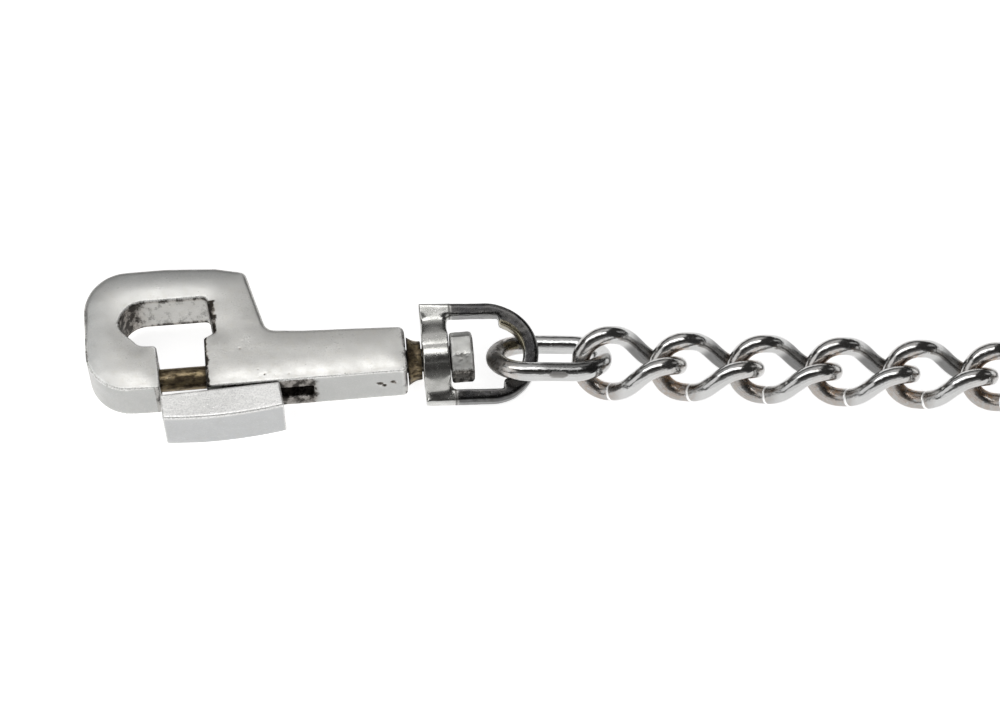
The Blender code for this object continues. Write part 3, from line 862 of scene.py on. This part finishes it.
def rivet(material):
    low, radius = AXIS_Z - RIVET_LENGTH / 2, RIVET / 2
    dome = 0.25 * MM
    profile = [(low, radius - dome), (low + dome, radius), (low + RIVET_LENGTH / 2, radius),
               (low + RIVET_LENGTH - dome, radius), (low + RIVET_LENGTH, radius - dome)]
    mesh = turned("rivet", profile, sides=32, axis_z=0.0)
    upright = Matrix.Rotation(-math.pi / 2, 4, "Y")
    mesh.transform(Matrix.Translation((TONGUE_LEFT + TONGUE_LENGTH / 2, 0, 0)) @ upright)
    return shown("slider_rivet_pin", mesh, "slider", "slider_rivet", material, 40)


def spring(material):
    """The coil behind the bolt."""
    start = BOLT_BACK + GAP + SPRING_WIRE / 2
    end = SHANK_END - STUD_PLUG_LENGTH - GAP - SPRING_WIRE / 2
    radius = (SPRING_OUTER - SPRING_WIRE) / 2
    per_turn = 40
    count = SPRING_TURNS * per_turn
    points, frames = [], []
    for index in range(count + 1):
        angle = 2 * math.pi * index / per_turn
        share = index / count
        outward = Vector((0, math.cos(angle), math.sin(angle)))
        points.append(Vector((start + (end - start) * share, 0, AXIS_Z)) + outward * radius)
        frames.append((outward, Vector((1, 0, 0))))
    mesh = tube("spring", points, frames, [SPRING_WIRE / 2] * len(points), 10, closed=False)
    coil = shown("bolt_spring_coil", mesh, "snap", "bolt_spring", material, 50)
    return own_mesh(coil)


def stud(material):
    """The swivel stud: a plug in the shank, a neck, and an eight-sided head filed by hand."""
    head_start = BAND_END + GAP
    plug_end = SHANK_END - GAP
    profile = [(SHANK_END - STUD_PLUG_LENGTH, STUD_PLUG / 2), (plug_end, STUD_PLUG / 2),
               (plug_end, STUD / 2), (head_start + MM, STUD / 2)]
    item = added("stud", turned("stud", profile, sides=48))
    sides = STUD_HEAD_SIDES
    radius = STUD_HEAD_FLATS / 2 / math.cos(math.pi / sides)
    pick = random.Random(8)
    jitter = [pick.uniform(-0.12, 0.02) * MM for _ in range(sides)]
    rings = ((0.0, 0.35), (0.35, 0.0), (STUD_HEAD_LENGTH / MM - 0.5, 0.0), (STUD_HEAD_LENGTH / MM, 0.5))
    vertices = []
    for x, inset in rings:
        for side in range(sides):
            angle = math.pi / sides + 2 * math.pi / sides * side
            r = radius + jitter[side] - inset * MM
            vertices.append((head_start + x * MM, r * math.cos(angle), AXIS_Z + r * math.sin(angle)))
    cut(item, mesh_from("head", vertices, ring_faces(len(rings), sides)), "UNION")
    mesh = remeshed(item, FINE_VOXEL)
    relax(mesh, np.ones(len(mesh.vertices)), rounds=3)
    points = points_of(mesh)
    x, y, _ = points.T / MM
    head = between(x, 19.3, 19.8)
    sway = (noise_at(points, 1.3 * MM, 6) * 0.04 + noise_at(points, 0.5 * MM, 7) * 0.012) * MM * head
    dents = np.zeros(len(points))
    for px, py, pz, size in DENTS:
        dents = np.maximum(dents, near(points, (px * MM, py * MM, pz * MM), size * MM * 1.4))
    push(mesh, sway - dents * DENT_DEPTH)
    # Dirt and painted shade on the head's near and far facets, in the dents, on the plug and neck and at
    # the head's end; proud edges for wear with a painted highlight
    low_side = between(-y, 4.3, 5.1) + between(y, 4.4, 5.1)
    grime = low_side * 0.7 + dents * 0.4 + (1 - head) * 0.8 + between(x, 24.2, 24.6) * 0.45
    store(mesh, grime=grime, worn=edge_wear_and_highlight(mesh, 0.02, 0.08))
    return shown("swivel_stud_head", mesh, "snap", "swivel_stud", material)


def collar(material):
    """The flared brass bush between the shank and the eye's band."""
    narrow_end = BAND_START - GAP
    wide_end = SHANK_END + GAP
    profile = []
    steps = 16
    for step in range(steps + 1):
        share = step / steps
        radius = (COLLAR_NARROW + (COLLAR_WIDE - COLLAR_NARROW) * share ** 2) / 2
        profile.append((narrow_end + (wide_end - narrow_end) * share, radius))
    profile[0] = (profile[0][0], profile[0][1] - 0.1 * MM)
    profile += [(wide_end, STUD / 2 + GAP), (narrow_end, STUD / 2 + GAP)]
    mesh = turned("collar", profile, ROUND_SIDES, closed=True)
    points = points_of(mesh)
    outside = np.hypot(points[:, 1], points[:, 2] - AXIS_Z) > 3.4 * MM
    push(mesh, -np.abs(noise_at(points, 1.0 * MM, 9)) * 0.07 * MM * outside)
    x = points[:, 0] / MM
    # Dirt and painted shade at both ends, against the shank and the band
    store(mesh, grime=(1 - between(x, 10.3, 10.9)) * 0.9 + between(x, 12.4, 12.9) * 0.6)
    return shown("swivel_collar_bush", mesh, "snap", "swivel_collar", material, 40)


def leaning(outline):
    """The outline with its points stepped aside, more and more from the bow to the band."""
    return [(Vector((p.x, p.y + EYE_LEAN * max(0.0, EYE_LEAN_END - p.x))), radius) for p, radius in outline]


def on_circle(centre_x, radius, angle):
    return Vector((centre_x + radius * math.cos(angle), radius * math.sin(angle)))


def swivel_eye(material):
    """The eye: a band round the stud, with a flared boss, and a dee-shaped bow for the connector."""
    half = EYE_WIDTH / 2
    outer_centre = EYE_END - half
    outer = [(Vector((BAND_START, -half)), 0.5 * MM)]
    steps = 60
    for step in range(steps + 1):
        angle = math.pi * (step / steps - 0.5)
        outer.append((on_circle(outer_centre, half, angle), 1.0 * MM))
    outer.append((Vector((BAND_START, half)), 0.5 * MM))
    arm = half - EYE_ARM
    notch = math.acos((EYE_NOTCH_X - BOW_INNER_CENTRE) / BOW_INNER_RADIUS)
    inner = [(Vector((BAND_END, -arm)), 0.5 * MM), (Vector((EYE_NOTCH_X, -arm)), 0.5 * MM)]
    steps = 40
    for step in range(steps + 1):
        angle = notch * (2 * step / steps - 1)
        inner.append((on_circle(BOW_INNER_CENTRE, BOW_INNER_RADIUS, angle), 0.7 * MM))
    inner += [(Vector((EYE_NOTCH_X, arm)), 0.5 * MM), (Vector((BAND_END, arm)), 0.5 * MM)]
    thick = EYE_THICKNESS / 2
    item = added("eye", slab("eye", leaning(spread(outer, 0.6 * MM)), -thick, thick))
    cut(item, slab("hole", leaning(spread(inner, 0.6 * MM)), -thick - MM, thick + MM))
    item.data.transform(Matrix.Translation((0, 0, AXIS_Z)) @ Matrix.Rotation(EYE_TILT, 4, "X"))
    rounded = 0.25 * MM
    core = BOSS / 2 - rounded
    boss = ((BAND_START, core), (BAND_START + rounded, BOSS / 2),
            (BAND_END - rounded, BOSS / 2), (BAND_END, core))
    cut(item, turned("boss", boss, ROUND_SIDES), "UNION")
    flare = turned("flare", ((BAND_START, core), (BAND_END, core)), ROUND_SIDES)
    tilt, untilt = Matrix.Rotation(EYE_TILT, 4, "X"), Matrix.Rotation(-EYE_TILT, 4, "X")
    across = tilt @ Matrix.Diagonal((1, FLARE, 1, 1)) @ untilt
    centred = Matrix.Translation((0, 0, AXIS_Z))
    flare.transform(centred @ across @ centred.inverted())
    cut(item, flare, "UNION")
    clear = STUD / 2 + GAP
    cut(item, turned("stud_hole", ((BAND_START - MM, clear), (BAND_END + MM, clear)), sides=48))
    mesh = remeshed(item, FINE_VOXEL)
    x, y, z = points_of(mesh).T / MM
    bow = between(x, 20.2, 20.9)
    inside = bow * (np.hypot(x - BOW_INNER_CENTRE / MM, y / math.cos(EYE_TILT)) < 7.6)
    flat_y = y * math.cos(EYE_TILT) + (z - AXIS_Z / MM) * math.sin(EYE_TILT)
    joint = (1 - bow) * (1 - between(np.abs(np.abs(flat_y) - 7.4), 1.2, 2.8)) * between(x, 13.3, 14.0)
    relax(mesh, np.clip(0.1 + 0.25 * bow + 0.65 * inside, 0, 1), rounds=30)
    relax(mesh, 0.95 * joint, rounds=120)
    points = points_of(mesh)
    x, y, z = points.T / MM
    waves = noise_at(points, 4 * MM, 11) * 0.05 + noise_at(points, 1.2 * MM, 12) * 0.02
    push(mesh, (waves - 0.02) * MM * bow + noise_at(points, 1.5 * MM, 13) * 0.015 * MM * (1 - bow))
    from_centre = np.hypot(x - BOW_INNER_CENTRE / MM, y / math.cos(EYE_TILT))
    rim = 1 - between(from_centre, 6.5, 6.9)
    # Dirt and painted shade where the band meets the bow; proud edges for wear with a painted highlight
    store(mesh, bow=bow, grime=between(x, 19.8, 20.1) * (1 - between(x, 20.2, 20.6)) * 0.8,
          worn=edge_wear_and_highlight(mesh, 0.015, 0.06), brass=bow * rim * between(y, -2, 1))
    return shown("swivel_eye_dee", mesh, "eye", "swivel_eye", material)


def eye_metal():
    colour = (0.50, 0.495, 0.475)
    metal = Metal("eye_steel", colour, 0.17)
    bow = metal.attribute("bow")
    broad = metal.noise(3 * MM, 4, low=0.35, high=0.7)
    speck = metal.noise(0.35 * MM, 5, rough=0.7, low=0.56, high=0.72)
    brush = metal.noise(0.12 * MM, 3, stretch=(1, 6, 6), low=0.35, high=0.7)
    metal.tint(broad, (0.36, 0.36, 0.34), amount=0.7)
    metal.tint(bow, (0.05, 0.048, 0.046), amount=0.98)
    metal.tint(metal.maths("MULTIPLY", bow, broad), (0.04, 0.04, 0.045), amount=0.6)
    metal.rough(broad, 0.08).rough(brush, 0.06).rough(speck, 0.12)
    # Proud edges lightened: partly real wear, partly a painted highlight
    worn = metal.attribute("worn")
    metal.tint(worn, (0.50, 0.50, 0.49), amount=0.45).rough(worn, -0.05)
    metal.tint(metal.attribute("brass"), (0.45, 0.40, 0.26), amount=0.6)
    metal.tint(metal.maths("MULTIPLY", bow, speck), (0.35, 0.35, 0.34), amount=0.35)
    # Dirt and painted shade where the band meets the bow
    grime = metal.attribute("grime")
    metal.tint(grime, GRIME_AND_SHADE, amount=0.9).rough(grime, 0.3)
    metal.bump(brush, 0.006 * MM, 0.5).bump(speck, 0.02 * MM, 0.4)
    return metal.done(0.1)


def connector(material):
    """The plain oval link, rubbed where it hangs in the eye and scarred on its near strand, with dirt and
    painted shade where it hangs and painted shade along the near strand.
    """
    matrix = lying(CONNECTOR_CENTRE, CONNECTOR_HEADING, CONNECTOR_TILT)
    count = CONNECTOR_SECTIONS
    points, frames = zip(*(oval_frame(CONNECTOR_LENGTH, CONNECTOR_WIDTH, 0, index / count, 0.5 / count)
                           for index in range(count)))
    mesh = tube("connector", points, frames, [CONNECTOR_WIRE / 2] * count, CONNECTOR_SIDES)
    local = points_of(mesh)
    x, y, z = local.T / MM
    waves = noise_at(local, 5 * MM, 14) * 0.03
    worn_end = between(-x, 8.4, 10.4)
    lumps = noise_at(local, 0.9 * MM, 15) * 0.05 * worn_end
    push(mesh, (waves + lumps - 0.02) * MM)
    ring = np.arctan2(z, -(y + CONNECTOR_WIDTH / 2 / MM))
    near_strand = y < 0
    scar_place = ((x - 2.0) / 2.2) ** 2 + ((ring - 0.1) * 2.1 / 0.85) ** 2
    scar = near_strand * (1 - between(scar_place, 0.75, 1.0))
    # Painted shade along the upper side of the near strand; dirt and painted shade where it hangs in the
    # eye
    shaded = near_strand * between(x, -4, 0) * between(ring, 0.45, 0.65) * (1 - between(ring, 1.9, 2.2))
    store(mesh, scar=scar, grime=worn_end * 0.95, dull=shaded, tarnish=between(-x, 5, 9) * 0.3)
    return shown("connector_link_oval", mesh, "connector", "connector_link", material,
                 place=matrix)


def curb_link(index, place, material):
    """One twisted link, bent from wire, with a butt joint in its near strand."""
    centre, heading, _ = place
    pick = random.Random(100 + index)
    width = FIRST_LINK_WIDTH if index == 0 else LINK_WIDTH
    radius = width / 2
    straight = LINK_LENGTH / 2 - radius
    total = 2 * math.pi * radius + 4 * straight
    seam_x = (-3.2 + pick.uniform(-0.5, 0.5)) * MM
    seam_run = 2 * math.pi * radius + 2 * straight + seam_x + straight
    runs = [total * step / LINK_SECTIONS for step in range(LINK_SECTIONS)]
    runs += [seam_run + offset * MM for offset in SEAM_SECTIONS]
    runs.sort()
    points, frames, radii = [], [], []
    step_up = pick.uniform(-0.03, 0.03) * MM
    for run in runs:
        here, frame_here = oval_frame(LINK_LENGTH, width, LINK_TWIST, run / total, 0.002)
        away = abs(run - seam_run) / MM
        groove = 0.05 * MM if away < 0.16 else (0.03 * MM if away < 0.26 else 0.0)
        lip = step_up * max(0.0, 1 - away / 1.2) * (1 if run > seam_run else -1)
        points.append(here)
        frames.append(frame_here)
        radii.append(LINK_WIRE / 2 - groove + lip - 0.015 * MM)
    mesh = tube("link", points, frames, radii, WIRE_SIDES)
    local = points_of(mesh)
    seam = np.repeat([1.0 if abs(run - seam_run) < 0.22 * MM else 0.0 for run in runs], WIRE_SIDES)
    x, y, z = local.T / MM
    push(mesh, noise_at(local, 4 * MM, 20 + index) * 0.03 * MM * (1 - seam))
    angle = LINK_TWIST * np.tanh(x * MM / TWIST_RUN)
    flat_y = y * np.cos(angle) - z * np.sin(angle)
    flat_z = y * np.sin(angle) + z * np.cos(angle)
    inner = 1 - between(np.hypot(np.abs(x) - straight / MM, flat_y), 3.8, 5.8)
    ends = between(np.abs(x), 3.5, 6.5)
    contact = inner * ends
    depth = pick.uniform(0.45, 1)
    core_x, core_y = np.repeat([(p.x, p.y) for p in points], WIRE_SIDES, axis=0).T / MM
    # Painted shade on the far strand from the middle to the right end and, lighter, on the lower left; dirt
    # and painted shade where links meet; a painted highlight along the butt joint
    descending = between(core_x, -1.8, 0.6) * (1 - between(core_x, 7.6, 8.8)) * (core_y > 0)
    lower_left = (1 - between(x, -3.5, -1.0)) * (1 - between(y, -1.5, 0.5))
    store(mesh, dull=np.maximum(descending, 0.4 * lower_left),
          tarnish=contact * depth + 0.12 * ends + 0.25 * depth * lower_left,
          grime=contact * 0.55 * np.exp(-(flat_z / 1.6) ** 2), bright=seam)
    number = f"{index + 1:02d}"
    return shown("curb_link_wire_" + number, mesh, "link_" + number, "curb_link_" + number,
                 material, 50, lying(centre, heading, LINK_ROLL))


def end_ring(place, material):
    """The welded round ring in the last link."""
    centre, heading, direction = place
    end_of_link = centre + direction * LINK_LENGTH / 2
    across = Vector((-direction.y, direction.x, 0))
    ring_centre = end_of_link + direction * RING_REACH + across * RING_ASIDE
    ring_centre.z = RING_Z
    points, frames, radii = [], [], []
    for index in range(RING_SECTIONS):
        angle = 2 * math.pi * index / RING_SECTIONS
        outward = Vector((math.cos(angle), math.sin(angle), 0))
        points.append(outward * RING_RADIUS)
        frames.append((outward, Vector((0, 0, 1))))
        weld = math.exp(-((index - RING_WELD) / 1.6) ** 2)
        radii.append(RING_WIRE / 2 - 0.02 * MM - weld * 0.1 * MM)
    mesh = tube("ring", points, frames, radii, WIRE_SIDES)
    local = points_of(mesh)
    push(mesh, noise_at(local, 5 * MM, 50) * 0.03 * MM)
    turn = np.arctan2(local[:, 1], local[:, 0])
    weld_angle = 2 * math.pi * RING_WELD / RING_SECTIONS
    store(mesh, scar=np.exp(-((turn - weld_angle) / 0.035) ** 2) * 0.7,
          tarnish=between(-local[:, 0] / MM, 11, 13.2) * 0.5)
    matrix = lying(ring_centre, heading + RING_TURN, RING_TILT)
    return shown("end_ring_wire", mesh, "ring", "end_ring", material, place=matrix)


# ---- studio

def studio():
    """A white floor and large soft lights, placed from a point over the chain."""
    corner = 3.0
    mesh = mesh_from("floor", [(-corner, -corner, 0), (corner, -corner, 0), (corner, corner, 0),
                               (-corner, corner, 0)], [(0, 1, 2, 3)])
    floor = added("floor", mesh)
    floor.location.z = -0.02 * MM
    mesh.materials.append(floor_paper())
    world = bpy.data.worlds.new("studio")
    bpy.context.scene.world = world
    world.use_nodes = True
    background = world.node_tree.nodes["Background"]
    background.inputs["Color"].default_value = (1.0, 0.97, 0.94, 1)
    background.inputs["Strength"].default_value = 0.04

    def softbox(name, place, size, strength, facing=None, glossy=True):
        light = bpy.data.lights.new(name, "AREA")
        light.shape = "RECTANGLE"
        light.size, light.size_y = size
        light.energy = strength * math.pi * size[0] * size[1]
        lamp = added(name, light)
        lamp.location = LIGHT_AIM + Vector(place)
        lamp.rotation_euler = Vector(facing or place).to_track_quat("Z", "Y").to_euler()
        lamp.visible_glossy = glossy
        return lamp

    key = softbox("overhead", (-0.4, 0.25, 1.6), (2.2, 0.66), 3.0, (0, 0, 1))
    key.visible_diffuse = False
    softbox("back_high", (-0.3, 0.8, 1.39), (2.6, 0.55), 0.75)
    softbox("back_low", (-0.3, 1.29, 0.94), (2.6, 0.8), 0.4)
    softbox("left_box", (-1.3, -0.35, 0.7), (1.0, 1.1), 1.0)
    softbox("right_box", (1.5, 0.5, 0.5), (0.4, 0.5), 0.5)
    softbox("front_card", (0, -1.5, 0.4), (3.0, 0.8), 1.0)
    softbox("front_high", (0, -1.2, 1.0), (2.8, 0.6), 0.12)
    softbox("fill", (0, -0.3, 1.7), (2.6, 2.6), 0.3, glossy=False)


def camera():
    data = bpy.data.cameras.new("camera")
    data.sensor_width = 36
    data.lens = CAMERA_LENS
    view = added("camera", data)
    level = math.cos(CAMERA_ELEVATION)
    back = Vector((math.sin(CAMERA_AZIMUTH) * level, -math.cos(CAMERA_AZIMUTH) * level,
                   math.sin(CAMERA_ELEVATION)))
    view.location = CAMERA_AIM + back * CAMERA_DISTANCE
    view.rotation_mode = "QUATERNION"
    view.rotation_quaternion = (-back).to_track_quat("-Z", "Y")
    data.clip_start = 0.01
    bpy.context.scene.camera = view


def build():
    cast = satin("cast_steel", (0.57, 0.565, 0.545), 0.30)
    hook_body(cast)
    thumb_slider(satin("slider_steel", (0.58, 0.58, 0.575), 0.27, brushed=(14, 1, 1)))
    brass = brassy("tarnished_brass")
    slide_bolt(brass)
    collar(brass)
    wire = drawn_wire("spring_steel")
    rivet(wire)
    spring(wire)
    stud(satin("filed_steel", (0.52, 0.52, 0.50), 0.36, brushed=(1, 3, 3)))
    swivel_eye(eye_metal())
    bright = polished("bright_steel", (0.55, 0.55, 0.545), 0.13)
    connector(bright)
    places = chain_places()
    for index, place in enumerate(places):
        curb_link(index, place, bright)
    end_ring(places[-1], bright)
    studio()
    camera()
    bpy.context.scene.view_settings.view_transform = "Standard"


build()
